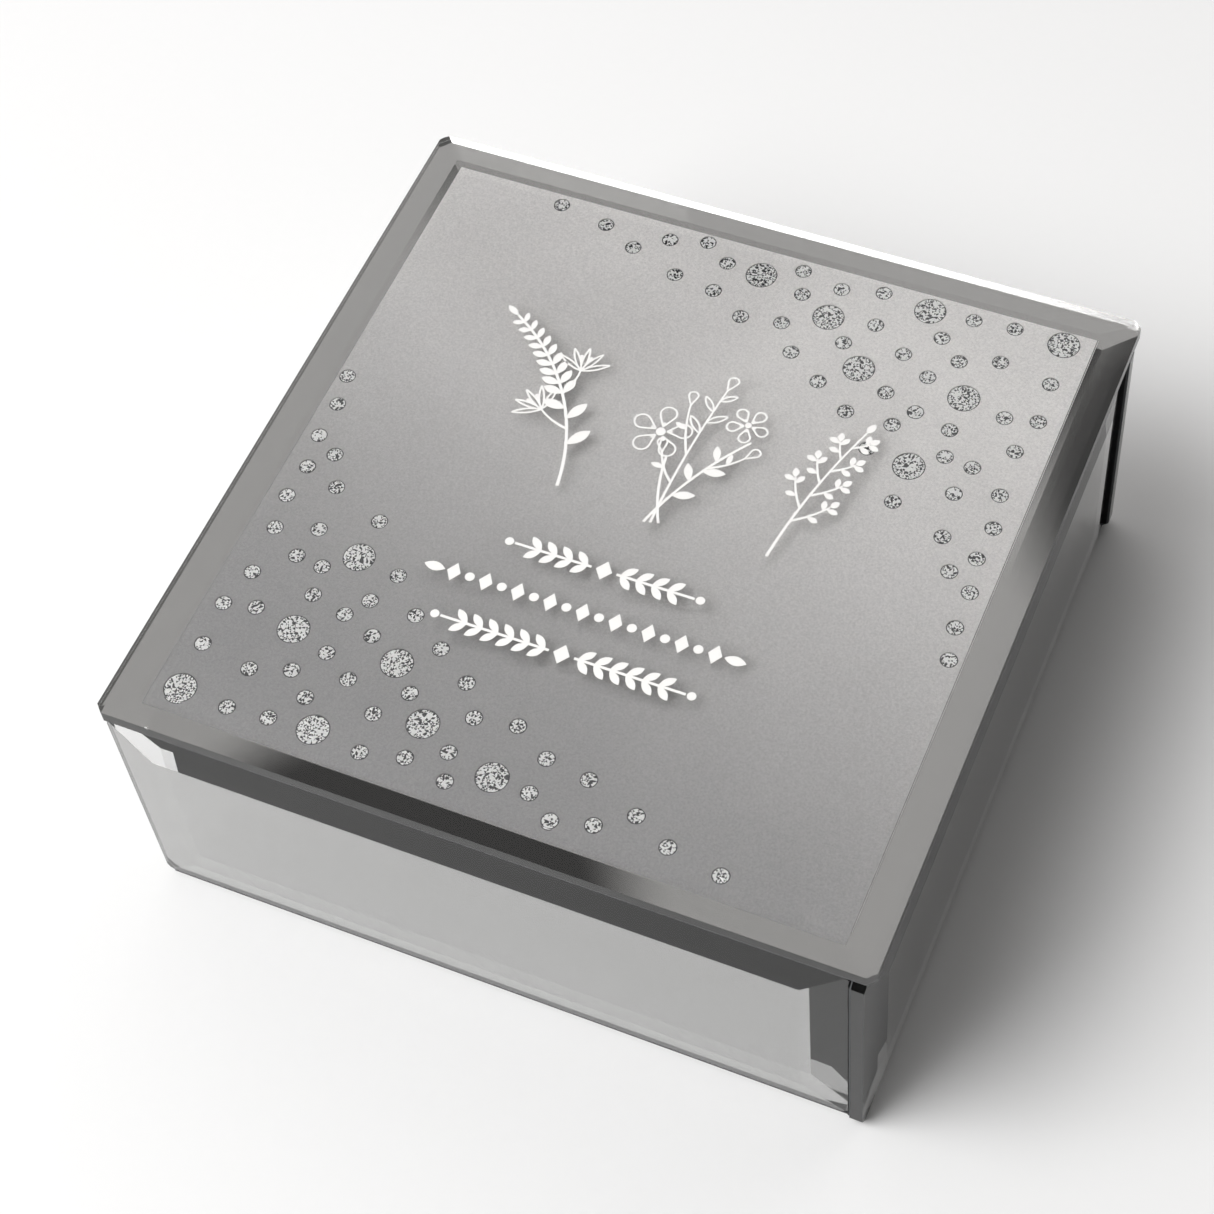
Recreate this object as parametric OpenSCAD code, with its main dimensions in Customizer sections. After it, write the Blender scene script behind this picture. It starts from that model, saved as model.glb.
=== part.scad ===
// Square trinket box: a case of four bevelled mirror panes and a hinged bevelled mirror lid.
// Millimetres. +X right, +Y to the hinges, +Z up. The origin is under the lid's centre, on the
// plane that the felt base rests on. Every node is one physical piece of the box.

/* [Glass] */
// Thickness of all the glass
glass_t = 3; // [2.5:0.1:4]
// Leg of the clipped corners of every pane
corner_clip = 1.2; // [0.4:0.1:2]

/* [Lid] */
// Side of the square lid
lid_w = 120; // [120:0.5:124]
// Width of the ground bevel round the lid
lid_bevel_w = 5.2; // [3:0.1:8]
// Depth that the bevel takes off the lid's edge
lid_bevel_drop = 1; // [0.5:0.1:1.4]
// Open height between the walls' top edge and the lid's silvering
lid_gap = 2; // [2:0.1:3]
// Width of the satin field behind the lid's glass
field_w = 108.6; // [100:0.1:112]
// Depth of the satin field behind the lid's glass, front to back
field_d = 110.6; // [100:0.1:112]
// How far the satin field sits forward of the lid's middle
field_forward = 0.4; // [0:0.1:1]

/* [Case] */
// Outer width and depth of the case
case_w = 119.4; // [110:0.1:119.4]
// Height of the four wall panes
wall_h = 45.6; // [30:0.1:70]
// Width of the ground bevel round the wall panes
wall_bevel_w = 7; // [4:0.1:9]
// Depth that the bevel takes off the wall panes' edges
wall_bevel_drop = 1.1; // [0.5:0.1:1.4]
// Case's centre lies this far left of and in front of the lid's centre
case_offset = 0.15; // [0:0.05:0.3]
// Joint line between one pane's end and its neighbour
joint_line = 0.6; // [0.4:0.05:0.8]

/* [Lining] */
// Thickness of the felt under the case
felt_t = 0.4; // [0.3:0.1:1]
// Thickness of the base board
base_t = 2.5; // [2:0.1:4]
// Thickness of the velvet pad on the floor
pad_t = 2.5; // [1.5:0.1:4]
// Thickness of the velvet liner boards
liner_t = 1.5; // [1:0.1:2.5]
// Height by which the liner boards stand above the walls
rim_proud = 1; // [0.5:0.1:1.2]

/* [Hinges] */
// Distance between the middles of the two hinges
hinge_spacing = 76; // [50:1:86]
// Width of each hinge
hinge_w = 18; // [14:0.5:24]
// Outer radius of the hinge knuckles
knuckle_r = 0.8; // [0.7:0.05:0.8]
// Radius of the hinge pin
pin_r = 0.35; // [0.25:0.01:0.4]
// How far the lid leaf reaches in under the lid
lid_leaf_reach = 11; // [8:0.5:16]
// How far the case leaf reaches down inside the back wall
case_leaf_drop = 12; // [8:0.5:16]

/* [Decoration] */
// Diameter of the large glitter dots
big_dot = 5; // [3:0.1:6]
// Diameter of the small glitter dots
small_dot = 2.6; // [1.5:0.1:3]

/* [Hidden] */

// The walls go round like a pinwheel: each is a quarter turn from the one before.
FRONT = 0;
RIGHT = 1;
BACK = 2;
LEFT = 3;

film = 0.03;            // air film between glass and the layer behind it
coat_t = 0.2;           // silvering and its paint, with the film
case_half = case_w / 2;
wall_inner = case_half - glass_t;
wall_len = case_w - glass_t - joint_line;
wall_top = felt_t + wall_h;

leaf_t = 0.4;           // hinge leaf thickness
leaf_lift = 0.15;       // case leaf stands this far above the back wall's top edge
knuckle_gap = 0.3;      // end gap between neighbouring knuckles
pin_clear = 0.05;       // radial clearance of the pin in its knuckles
mid_knuckle_w = hinge_w / 3;
end_knuckle_w = (hinge_w - mid_knuckle_w) / 2 - knuckle_gap;
hinge_y = lid_w / 2 - knuckle_r - 0.1;
hinge_z = wall_top + leaf_lift + knuckle_r;
leaf_edge_y = hinge_y - knuckle_r - knuckle_gap;

liner_out = wall_inner - coat_t - leaf_t;
liner_in = liner_out - liner_t;
floor_z = felt_t + base_t;
rim_top = wall_top + rim_proud;

lid_under = wall_top + lid_gap;
lid_glass_z = lid_under + coat_t;
lid_top = lid_glass_z + glass_t;
lining_clear = 0.05;    // closed lining stops this far above the liner boards
lining_half = liner_out - 0.2;
field_t = coat_t - film;    // the field is part of the layer that backs the lid's glass
ink_z = lid_top + film;
ink_t = 0.06;
ink_shift = [0.35, -0.7];
dot_shift = [-0.2, 0.3];

// Centres of the glitter dots over the lid's rear right corner, from the lid's centre. The
// front left corner has the same dots turned half round.
BIG_DOTS = [[1, 49.5], [14, 45], [22, 37], [28.5, 51.5], [39, 37], [35.5, 22], [50, 52]];
SMALL_DOTS = [
    [-35, 52.5], [-26.5, 51], [-20.5, 48], [-15.5, 51.5], [-12, 45], [-9.5, 53], [-5, 50],
    [-5, 44], [1, 40.5], [7, 52.5], [7.5, 41.5], [8.5, 48], [11, 36.5], [14, 51],
    [17, 32.5], [18, 41], [20.5, 52.5], [21.5, 46], [23, 28.5], [27.5, 34], [27.5, 42],
    [30.5, 28.5], [28.5, 23], [32, 47], [32.5, 39], [33, 32], [35.5, 52], [35.5, 15],
    [36, 43.5], [39, 30.5], [40, 25.5], [42, 52.5], [42, 45.5], [43.5, 19.5], [44.5, 11.5],
    [44.5, 25], [46, 35.5], [47.5, 6], [49.5, 30], [50, 21.5], [50.5, 44], [50.5, 9.5],
    [51, 15.5], [51, 36.5], [51.5, 3.5], [51.5, -3], [52.5, -8.5]
];

// Each sprig of the print: foot, lean from upright, height, leaf pairs and leaf length.
SPRIGS = [[[-12.8, 0.2], 33, 34, 9, 4], [[3, -1.2], -4, 31, 6, 4.5], [[21.4, -0.9], -15, 28, 7, 3.6]];
// Rows of lozenges under the sprigs: centre line and half width.
ROWS = [[-11.6, 16], [-19.5, 25], [-27.2, 21]];
row_pitch = 4;
stem_w = 0.6;

// A box between two corners.
module block(low, high) {
    translate(low) cube(high - low);
}

// A rectangle on the XY plane with its corners clipped, raised to a slab.
module clipped_slab(length, width, height) {
    x = length / 2;
    y = width / 2;
    x_clip = x - corner_clip;
    y_clip = y - corner_clip;
    linear_extrude(height = height)
        polygon([
            [x_clip, -y], [x, -y_clip], [x, y_clip], [x_clip, y],
            [-x_clip, y], [-x, y_clip], [-x, -y_clip], [-x_clip, -y]
        ]);
}

// A flat pane on the XY plane, with the bevel ground on its upper face along all four edges.
module bevelled_pane(length, width, bevel_w, bevel_drop) {
    grind = 2 * bevel_w;
    run = length + width;
    difference() {
        clipped_slab(length, width, glass_t);
        for (side = [0:3])
            rotate([0, 0, 90 * side])
                translate([side % 2 == 0 ? length / 2 : width / 2, 0, glass_t - bevel_drop])
                    rotate([0, atan(bevel_drop / bevel_w), 0])
                        block([-grind, -run / 2, 0], [grind, run / 2, glass_t]);
    }
}

// Puts a front-wall shape, drawn about the case's centre, on the wall asked for.
module on_wall(side) {
    translate([-case_offset, -case_offset, 0]) rotate([0, 0, 90 * side]) children();
}

module wall_glass(side) {
    color("lightsteelblue", 0.5)
        on_wall(side)
            translate([wall_len / 2 - case_half, -wall_inner, felt_t + wall_h / 2])
                rotate([90, 0, 0])
                    bevelled_pane(wall_len, wall_h, wall_bevel_w, wall_bevel_drop);
}

module wall_silvering(side) {
    color("gray")
        on_wall(side)
            translate([wall_len / 2 - case_half, coat_t - wall_inner, felt_t + wall_h / 2])
                rotate([90, 0, 0]) clipped_slab(wall_len, wall_h, coat_t - film);
}

// Black adhesive between each pane's right-hand end and the back of the next pane.
module corner_adhesive() {
    color("black")
        for (side = [FRONT:LEFT])
            on_wall(side)
                block(
                    [wall_len - case_half, wall_bevel_drop - case_half, felt_t + corner_clip],
                    [wall_inner - coat_t, -wall_inner, wall_top - corner_clip]
                );
}

module base_board() {
    half = wall_inner - coat_t;
    color("saddlebrown")
        on_wall(FRONT) block([-half, -half, felt_t], [half, half, floor_z]);
}

module base_felt() {
    half = case_half - wall_bevel_drop;
    color("dimgray")
        on_wall(FRONT) block([-half, -half, 0], [half, half, felt_t]);
}

module floor_pad() {
    half = liner_in - 0.1;
    color("black")
        on_wall(FRONT) block([-half, -half, floor_z], [half, half, floor_z + pad_t]);
}

// Velvet-covered board inside a wall. The boards overlap at the corners as the panes do.
module liner(side) {
    color([0.1, 0.1, 0.11])
        on_wall(side)
            block([-liner_out, -liner_out, floor_z], [liner_in - 0.1, -liner_in, rim_top]);
}

// Places a hinge shape, drawn with its pin on the X axis, at the left or right hinge.
module at_hinge(hand) {
    translate([hand * hinge_spacing / 2, hinge_y, hinge_z]) children();
}

module knuckle(start, length) {
    translate([start, 0, 0])
        rotate([0, 90, 0]) cylinder(r = knuckle_r, h = length, $fn = 48);
}

module knuckle_bore() {
    translate([-hinge_w, 0, 0])
        rotate([0, 90, 0]) cylinder(r = pin_r + pin_clear, h = 2 * hinge_w, $fn = 48);
}

// Leaf on the back wall: over the top edge and down inside, with the two outer knuckles.
module case_leaf(hand) {
    inner_y = liner_out - case_offset - hinge_y;
    edge_y = leaf_edge_y - hinge_y;
    half = hinge_w / 2;
    color("silver")
        at_hinge(hand)
            difference() {
                union() {
                    block([-half, inner_y, -knuckle_r], [half, edge_y, leaf_t - knuckle_r]);
                    block(
                        [-half, inner_y, -case_leaf_drop],
                        [half, inner_y + leaf_t, leaf_t - knuckle_r]
                    );
                    for (start = [-half, half - end_knuckle_w]) {
                        knuckle(start, end_knuckle_w);
                        block(
                            [start, edge_y, -knuckle_r],
                            [start + end_knuckle_w, 0, leaf_t - knuckle_r]
                        );
                    }
                }
                knuckle_bore();
            }
}

// Leaf under the lid, with the middle knuckle.
module lid_leaf(hand) {
    top = lid_under - hinge_z;
    low = top - leaf_t;
    edge_y = leaf_edge_y - hinge_y;
    half = hinge_w / 2;
    mid = mid_knuckle_w / 2;
    color("silver")
        at_hinge(hand)
            difference() {
                union() {
                    block([-half, edge_y - lid_leaf_reach, low], [half, edge_y, top]);
                    block([-mid, edge_y, pin_r + pin_clear], [mid, 0, top]);
                    knuckle(-mid, mid_knuckle_w);
                }
                knuckle_bore();
            }
}

// Hinge pin with a low head peened on each end.
module hinge_pin(hand) {
    half = hinge_w / 2;
    head = 0.3;
    color("gainsboro")
        at_hinge(hand)
            rotate([0, 90, 0])
                rotate_extrude($fn = 48)
                    polygon([
                        [0, -half - head], [pin_r, -half - head], [knuckle_r * 0.8, -half - pin_clear],
                        [pin_r, -half - pin_clear], [pin_r, half + pin_clear],
                        [knuckle_r * 0.8, half + pin_clear], [pin_r, half + head], [0, half + head]
                    ]);
}

module lid_glass() {
    color("lightsteelblue", 0.5)
        translate([0, 0, lid_glass_z])
            bevelled_pane(lid_w, lid_w, lid_bevel_w, lid_bevel_drop);
}

// The rectangle of the satin field, grown by margin on each side and on its two faces.
module field_block(margin, extra) {
    half_x = field_w / 2 + margin;
    half_y = field_d / 2 + margin;
    translate([0, -field_forward, 0])
        block([-half_x, -half_y, lid_under - extra], [half_x, half_y, lid_under + field_t + extra]);
}

// Mirror border round the satin field.
module lid_silvering() {
    color("gray")
        difference() {
            translate([0, 0, lid_under]) clipped_slab(lid_w, lid_w, coat_t - film);
            field_block(film, 1);
        }
}

// Satin paint behind the glass, with a window for each glitter dot.
module lid_satin_field() {
    color("darkgray")
        difference() {
            field_block(0, 0);
            dots(film, 1);
        }
}

module dots(margin, extra) {
    translate([dot_shift[0], dot_shift[1], lid_under - extra])
        for (half_turn = [0, 180])
            rotate([0, 0, half_turn]) {
                for (place = BIG_DOTS)
                    translate(place) cylinder(d = big_dot + 2 * margin, h = field_t + 2 * extra, $fn = 32);
                for (place = SMALL_DOTS)
                    translate(place) cylinder(d = small_dot + 2 * margin, h = field_t + 2 * extra, $fn = 32);
            }
}

module lid_glitter_dots() {
    color("white") dots(0, 0);
}

// A pointed leaf lying along +X from the origin: where two round discs overlap.
module leaf(length) {
    offset_y = length * 0.9;
    disc_r = norm([length / 2, offset_y]);
    intersection() {
        translate([length / 2, -offset_y, 0]) cylinder(r = disc_r, h = ink_t, $fn = 96);
        translate([length / 2, offset_y, 0]) cylinder(r = disc_r, h = ink_t, $fn = 96);
    }
}

module sprig(height, pairs, leaf_len) {
    block([-stem_w / 2, 0, 0], [stem_w / 2, height, ink_t]);
    for (pair = [1:pairs])
        for (hand = [-1, 1])
            translate([0, height * (0.25 + 0.7 * pair / pairs), 0])
                rotate([0, 0, 90 + hand * 50]) leaf(leaf_len);
}

// White print on top of the glass: three sprigs over rows of lozenges.
module lid_print() {
    color("white")
        translate([ink_shift[0], ink_shift[1], ink_z]) {
            for (s = SPRIGS)
                translate([s[0][0], s[0][1], 0]) rotate([0, 0, s[1]]) sprig(s[2], s[3], s[4]);
            for (row = ROWS)
                for (x = [-row[1]:row_pitch:row[1]])
                    translate([x, row[0], 0])
                        rotate([0, 0, 45]) block([-1, -1, 0], [1, 1, ink_t]);
        }
}

// Velvet-covered card under the lid, cut away round the hinge leaves.
module lid_lining() {
    notch_half = hinge_w / 2 + 0.3;
    notch_y = leaf_edge_y - lid_leaf_reach - 0.3;
    low = rim_top + lining_clear;
    color([0.12, 0.12, 0.13])
        difference() {
            on_wall(FRONT)
                block([-lining_half, -lining_half, low], [lining_half, lining_half, lid_under]);
            for (hand = [-1, 1])
                translate([hand * hinge_spacing / 2, 0, 0])
                    block([-notch_half, notch_y, low - 1], [notch_half, case_half, lid_under + 1]);
        }
}

wall_glass(FRONT);  // front_panel_glass
wall_glass(RIGHT);  // right_panel_glass
wall_glass(BACK);  // back_panel_glass
wall_glass(LEFT);  // left_panel_glass
wall_silvering(FRONT);  // front_silvering
wall_silvering(RIGHT);  // right_silvering
wall_silvering(BACK);  // back_silvering
wall_silvering(LEFT);  // left_silvering
corner_adhesive();
base_board();
base_felt();
floor_pad();
liner(FRONT);  // front_liner
liner(RIGHT);  // right_liner
liner(BACK);  // back_liner
liner(LEFT);  // left_liner
case_leaf(-1);  // hinge_left_case_leaf
case_leaf(1);  // hinge_right_case_leaf
hinge_pin(-1);  // hinge_left_pin
hinge_pin(1);  // hinge_right_pin
lid_glass();
lid_silvering();
lid_satin_field();
lid_glitter_dots();
lid_print();
lid_lining();
lid_leaf(-1);  // hinge_left_lid_leaf
lid_leaf(1);  // hinge_right_lid_leaf
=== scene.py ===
"""Looks, light and camera for a square trinket box of bevelled mirror panes with a hinged lid."""

import math
import random

import bmesh
import bpy
from bpy.props import FloatProperty, FloatVectorProperty, IntProperty, PointerProperty
from mathutils import Matrix, Vector


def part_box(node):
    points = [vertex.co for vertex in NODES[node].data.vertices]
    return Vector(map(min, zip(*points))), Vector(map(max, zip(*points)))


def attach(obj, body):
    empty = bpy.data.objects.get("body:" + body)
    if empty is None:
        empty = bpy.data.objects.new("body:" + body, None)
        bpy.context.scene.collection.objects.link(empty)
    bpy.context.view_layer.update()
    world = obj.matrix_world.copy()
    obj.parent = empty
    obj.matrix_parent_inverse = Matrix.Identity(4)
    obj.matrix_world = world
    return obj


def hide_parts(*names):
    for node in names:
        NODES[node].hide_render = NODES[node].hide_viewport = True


bl_info = {
    "name": "Mirrored Trinket Box",
    "version": (1, 0, 0),
    "blender": (4, 5, 0),
    "location": "3D View > Sidebar > Trinket Box",
    "description": "Glass, mirror, glitter and velvet for a hinged trinket box",
    "category": "Object",
}

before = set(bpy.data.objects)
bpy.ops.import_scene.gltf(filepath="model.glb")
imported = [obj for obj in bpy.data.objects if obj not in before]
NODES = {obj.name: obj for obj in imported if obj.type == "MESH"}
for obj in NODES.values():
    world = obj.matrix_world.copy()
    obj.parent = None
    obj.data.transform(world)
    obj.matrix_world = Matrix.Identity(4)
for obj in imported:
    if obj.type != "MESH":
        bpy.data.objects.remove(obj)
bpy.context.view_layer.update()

MM = 0.001
MERGE = 1e-6
UP = Vector((0, 0, 1))
SATIN_PAINTED_SHEEN_WAY = Vector((0.3, 1, 0))    # the satin field lightens along this way: a painted sheen towards the hinges, painted shade towards the front
PRINT_SHIFT = Vector((0.35, -0.7, 0)) * MM
WALL_SILVER_PAINTED_SHADE = 0.92        # the walls' silvering against the lid's: painted shade, the same silver made darker on the walls
FLAKE_NUDGE = 0.3         # how far a flake's corner strays, against its width
PAD_PULL = 0.012          # how far the pad's sides pull in, against its half width
PAD_CUTS = 47
SEAM_WIDTH = 0.38 * MM    # the adhesive bead in a corner seam
SEAM_RISE = 0.9 * MM
SEAM_INSET = 2.3 * MM     # from the outside of the adhesive to the middle of a seam

# The studio. Ramps over a direction run from the first to the second cosine or chord.
KEY_AIM = Vector((0, 0, 20)) * MM
BRIGHT_SIDE = (-0.75, 0.66, 0)
BRIGHT_SIDE_RAMP = (-0.25, 0.3)
LOW_GLOW = 1.4                     # how much brighter the walls are low down
LOW_GLOW_RAMP = (0.5, 0.62)
FLAG_AZIMUTH, FLAG_ELEVATION = -27, 46.5
FLAG_RAMP = (0.062, 0.1)
FLAG_SHARE = 0.05                  # what the dark flag lets through
FLOOR_HALF = 3

# Which way the glass side of each wall looks.
WALLS = {
    "front": Vector((0, -1, 0)),
    "right": Vector((1, 0, 0)),
    "back": Vector((0, 1, 0)),
    "left": Vector((-1, 0, 0)),
}
HINGE_PARTS = [
    f"hinge_{hand}_{part}" for hand in ("left", "right") for part in ("case_leaf", "lid_leaf", "pin")
]


def length_prop(name, description, default, low, high):
    """A length in metres that the sidebar shows in the scene's unit."""
    return FloatProperty(
        name=name, description=description, default=default, min=low, max=high,
        subtype="DISTANCE", unit="LENGTH", precision=5,
    )


def colour_prop(name, description, default):
    """A colour that the sidebar shows as a swatch."""
    return FloatVectorProperty(
        name=name, description=description, default=default, size=3, min=0, max=1, subtype="COLOR"
    )


def share_prop(name, description, default):
    """A number from 0 to 1."""
    return FloatProperty(
        name=name, description=description, default=default, min=0, max=1, subtype="FACTOR"
    )


class TrinketFinish(bpy.types.PropertyGroup):
    """Colours and finishes of the box."""

    glass: colour_prop("Glass", "Tint of the clear glass", (0.985, 0.988, 0.985))
    glass_edge: colour_prop("Glass edge", "Tint of the ground edges", (0.09, 0.097, 0.095))
    silver: colour_prop("Silver", "Silvering behind the glass", (0.42, 0.416, 0.412))
    backing: colour_prop("Backing", "Paint on the back of the silvering", (0.09, 0.095, 0.1))
    # The satin's two ends are one paint lit differently: the lighter back is a painted sheen, the darker
    # front a painted shade.
    satin_painted_shade_front: colour_prop("Satin near the front", "Satin field at its front edge", (0.37, 0.363, 0.365))
    satin_painted_sheen_back: colour_prop("Satin near the hinges", "Satin field at its back edge", (0.95, 0.925, 0.915))
    satin_roughness: share_prop("Satin roughness", "Roughness of the satin field", 0.42)
    ink: colour_prop("Ink", "White ink of the print", (0.9, 0.89, 0.87))
    # Each flake gets one flat colour: a painted glint for flakes taken as catching the light, a painted
    # shade for flakes taken as turned away. The dark colour also tints the dots' rim lacquer.
    flake_painted_glint: colour_prop("Bright flakes", "Glitter flakes that catch the light", (1, 1, 0.99))
    flake_painted_shade_and_rim_lacquer: colour_prop("Dark flakes", "Glitter flakes turned away", (0.035, 0.035, 0.04))
    painted_shade_flake_share: share_prop("Dark share", "Share of the flakes that are dark", 0.36)
    velvet: colour_prop("Velvet", "Black velvet of the lining", (0.012, 0.012, 0.014))
    nickel: colour_prop("Nickel", "Plated hinge metal", (0.66, 0.64, 0.61))
    felt: colour_prop("Felt", "Felt under the base", (0.035, 0.035, 0.038))
    board: colour_prop("Board", "Fibreboard of the base", (0.23, 0.15, 0.09))
    adhesive: colour_prop("Adhesive", "Black adhesive in the corners", (0.006, 0.006, 0.007))


class TrinketSizes(bpy.types.PropertyGroup):
    """Sizes of the detail that the looks add."""

    flake: length_prop("Flake", "Width of one glitter flake", 0.36 * MM, 0.1 * MM, 1 * MM)
    flake_relief: length_prop("Flake relief", "Height by which flakes differ", 0.09 * MM, 0, 0.12 * MM)
    dot_rim: length_prop("Dot rim", "Dark rim left round each glitter dot", 0.13 * MM, 0, 0.4 * MM)
    stem: length_prop("Stem", "Width of the print's stems", 0.42 * MM, 0.1 * MM, 1 * MM)
    vein: length_prop("Fine line", "Width of the print's petal lines", 0.3 * MM, 0.1 * MM, 1 * MM)
    velvet_edge: length_prop("Velvet edge", "Radius of velvet over a board", 0.45 * MM, 0.1 * MM, 0.7 * MM)
    pad_crown: length_prop("Pad crown", "Fall of the floor pad from middle to edge", 0.9 * MM, 0, 2 * MM)
    brush_mark: length_prop("Brush mark", "Width of a brush mark on the hinges", 0.08 * MM, 0.01 * MM, MM)
    seed: IntProperty(name="Seed", description="Seed of the flakes' places", default=7, min=0)


class TrinketStudio(bpy.types.PropertyGroup):
    """Camera and lights."""

    lens: FloatProperty(
        name="Lens", description="Focal length of the camera", default=80.97, min=20, max=200,
        subtype="DISTANCE_CAMERA",
    )
    eye: FloatVectorProperty(
        name="Camera", description="Where the camera stands", size=3, subtype="XYZ", unit="LENGTH",
        default=(0.11266, -0.21215, 0.38077), precision=5,
    )
    target: FloatVectorProperty(
        name="Target", description="Point that the camera looks at", size=3, subtype="XYZ", unit="LENGTH",
        default=(-0.00542, -0.00258, 0.025), precision=5,
    )
    roll: FloatProperty(
        name="Roll", description="Clockwise turn of the camera about its view", subtype="ANGLE",
        default=math.radians(7.466),
    )
    key_power: FloatProperty(
        name="Key", description="Power of the key light", default=22, min=0, unit="POWER"
    )
    key_place: FloatVectorProperty(
        name="Key place", description="Where the key light hangs", size=3, subtype="XYZ", unit="LENGTH",
        default=(-0.62, -0.62, 1.17),
    )
    key_side: FloatProperty(
        name="Key side", description="Side of the square key light", default=1, min=0.01,
        subtype="DISTANCE", unit="LENGTH",
    )
    sky_colour: colour_prop("Wall colour", "Colour of the studio walls", (1, 0.985, 0.972))
    sky_light: share_prop("Bright wall", "Radiance of the bright studio wall", 0.7)
    sky_dark: share_prop("Dim wall", "Radiance of the dim side of the studio", 0.07)
    floor: colour_prop("Floor", "Pale studio floor", (0.86, 0.86, 0.86))


# ---------------------------------------------------------------- materials


class Recipe:
    """A node material being put together around one Principled shader."""

    def __init__(self, name):
        self.material = bpy.data.materials.new(name)
        self.material.use_nodes = True
        self.tree = self.material.node_tree
        self.tree.nodes.clear()
        self.shader = self.add("ShaderNodeBsdfPrincipled")
        output = self.add("ShaderNodeOutputMaterial")
        self.join(self.shader.outputs["BSDF"], output.inputs["Surface"])
        self.coords = self.add("ShaderNodeTexCoord")

    def add(self, kind, **settings):
        node = self.tree.nodes.new(kind)
        for key, value in settings.items():
            setattr(node, key, value)
        return node

    def join(self, source, socket):
        self.tree.links.new(source, socket)

    def feed(self, socket, value):
        """Links an output to a socket, or sets the socket to a constant."""
        if isinstance(value, bpy.types.NodeSocket):
            self.join(value, socket)
        elif socket.type == "RGBA" and len(value) == 3:
            socket.default_value = (*value, 1)
        else:
            socket.default_value = value

    def set(self, **sockets):
        """Sets or links the shader's sockets. Underscores stand for spaces."""
        for key, value in sockets.items():
            self.feed(self.shader.inputs[key.replace("_", " ")], value)
        return self

    def place(self, stretch=(1, 1, 1), turn=(0, 0, 0)):
        """Object coordinates, stretched and turned."""
        mapping = self.add("ShaderNodeMapping")
        self.join(self.coords.outputs["Object"], mapping.inputs["Vector"])
        mapping.inputs["Scale"].default_value = stretch
        mapping.inputs["Rotation"].default_value = turn
        return mapping.outputs["Vector"]

    def noise(self, grain, detail=2, roughness=0.5, stretch=(1, 1, 1)):
        """Noise whose lumps are about grain metres wide."""
        noise = self.add("ShaderNodeTexNoise")
        self.join(self.place(stretch), noise.inputs["Vector"])
        noise.inputs["Scale"].default_value = 1 / grain
        noise.inputs["Detail"].default_value = detail
        noise.inputs["Roughness"].default_value = roughness
        return noise.outputs["Fac"]

    def math(self, operation, a, b=0.0):
        node = self.add("ShaderNodeMath", operation=operation)
        self.feed(node.inputs[0], a)
        self.feed(node.inputs[1], b)
        return node.outputs["Value"]

    def spread(self, value, low, high, to_low=0.0, to_high=1.0, smooth=False):
        """Maps low..high onto to_low..to_high."""
        node = self.add("ShaderNodeMapRange", interpolation_type="SMOOTHSTEP" if smooth else "LINEAR")
        self.feed(node.inputs["Value"], value)
        for key, number in zip(("From Min", "From Max", "To Min", "To Max"), (low, high, to_low, to_high)):
            node.inputs[key].default_value = number
        return node.outputs["Result"]

    def mix(self, share, a, b):
        """Colour a turning into colour b."""
        node = self.add("ShaderNodeMix", data_type="RGBA")
        self.feed(node.inputs[0], share)
        self.feed(node.inputs[6], a)
        self.feed(node.inputs[7], b)
        return node.outputs[2]

    def bump(self, height, depth, strength=1.0):
        """Relief of depth metres on the shader's normal."""
        node = self.add("ShaderNodeBump")
        self.feed(node.inputs["Height"], height)
        node.inputs["Distance"].default_value = depth
        node.inputs["Strength"].default_value = strength
        self.join(node.outputs["Normal"], self.shader.inputs["Normal"])

    def facing(self, direction):
        """How far the surface faces along direction in the piece's own frame, from -1 to 1."""
        node = self.add("ShaderNodeVectorMath", operation="DOT_PRODUCT")
        self.join(self.coords.outputs["Normal"], node.inputs[0])
        node.inputs[1].default_value = direction
        return node.outputs["Value"]


def shade(colour, factor):
    """A colour made lighter or darker by a factor."""
    return tuple(min(1, channel * factor) for channel in colour)


def glass_material(finish, side, facing):
    """Clear polished glass with ground edges and a trace of handling on its faces."""
    recipe = Recipe(f"clear_glass_{side}")
    edge = recipe.math("LESS_THAN", recipe.math("ABSOLUTE", recipe.facing(facing)), 0.5)
    smudge = recipe.spread(recipe.noise(9 * MM, 3, 0.6), 0.52, 0.75, 0.0, 0.012)
    roughness = recipe.math("MAXIMUM", smudge, recipe.math("MULTIPLY", edge, 0.22))
    return recipe.set(
        Base_Color=recipe.mix(edge, finish.glass, finish.glass_edge),
        Roughness=roughness,
        Transmission_Weight=1.0,
        IOR=1.52,
    ).material


def silvering_material(finish, side, facing):
    """Mirror silver on the side that meets the glass, painted backing everywhere else."""
    recipe = Recipe(f"mirror_silvering_{side}")
    mirror = recipe.math("GREATER_THAN", recipe.facing(facing), 0.5)
    paint = recipe.spread(recipe.noise(0.5 * MM, 4, 0.6), 0.3, 0.7, 0.45, 0.75)
    haze = recipe.spread(recipe.noise(14 * MM, 3), 0.4, 0.8, 0.008, 0.03)
    node = recipe.add("ShaderNodeMix", data_type="FLOAT")
    recipe.feed(node.inputs[0], mirror)
    recipe.feed(node.inputs[2], paint)
    recipe.feed(node.inputs[3], haze)
    # The walls get a darker copy of the lid's silver, painted shade on their reflections.
    silver = finish.silver if side == "lid" else shade(finish.silver, WALL_SILVER_PAINTED_SHADE)
    tone = recipe.mix(recipe.noise(20 * MM, 3), shade(silver, 0.96), silver)
    return recipe.set(
        Base_Color=recipe.mix(mirror, finish.backing, tone),
        Metallic=mirror,
        Roughness=node.outputs[0],
    ).material


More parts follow.
